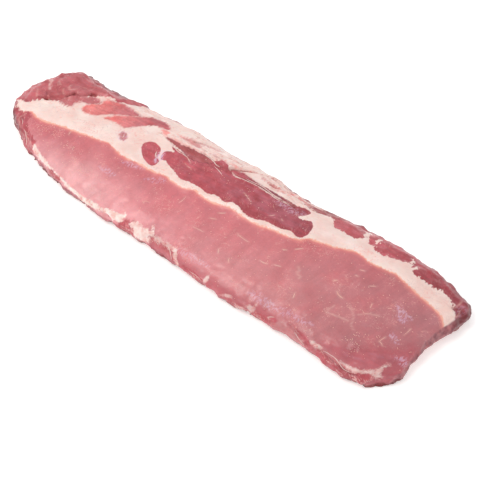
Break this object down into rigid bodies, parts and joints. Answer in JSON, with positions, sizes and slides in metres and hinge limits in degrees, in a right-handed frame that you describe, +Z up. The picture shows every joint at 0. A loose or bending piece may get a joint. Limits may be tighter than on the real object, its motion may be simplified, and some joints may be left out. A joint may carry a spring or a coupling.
{
  "type": "rack of raw pork ribs",
  "caption": "Raw rack of pork back ribs, meat side up: a long pink loin face beside a band of fat, over an arch of rib bones.",
  "frame": {"origin": "on the surface the rack lies on, under the middle of the rack's box", "axes": "+X along the rack towards its squarer end, +Y across it towards the edge under the fat cap, +Z up through the meat side"},
  "size_m": [0.4637, 0.133, 0.035],
  "materials": {
    "meat": "moist raw pork, lean, fat and sinew",
    "bone": "moist bone under a thin membrane"
  },
  "bodies": {
    "root": {"meat": "meat", "rib_01": "bone", "rib_02": "bone", "rib_03": "bone", "rib_04": "bone", "rib_05": "bone", "rib_06": "bone", "rib_07": "bone", "rib_08": "bone", "rib_09": "bone", "rib_10": "bone", "rib_11": "bone", "rib_12": "bone"}
  },
  "joints": []
}
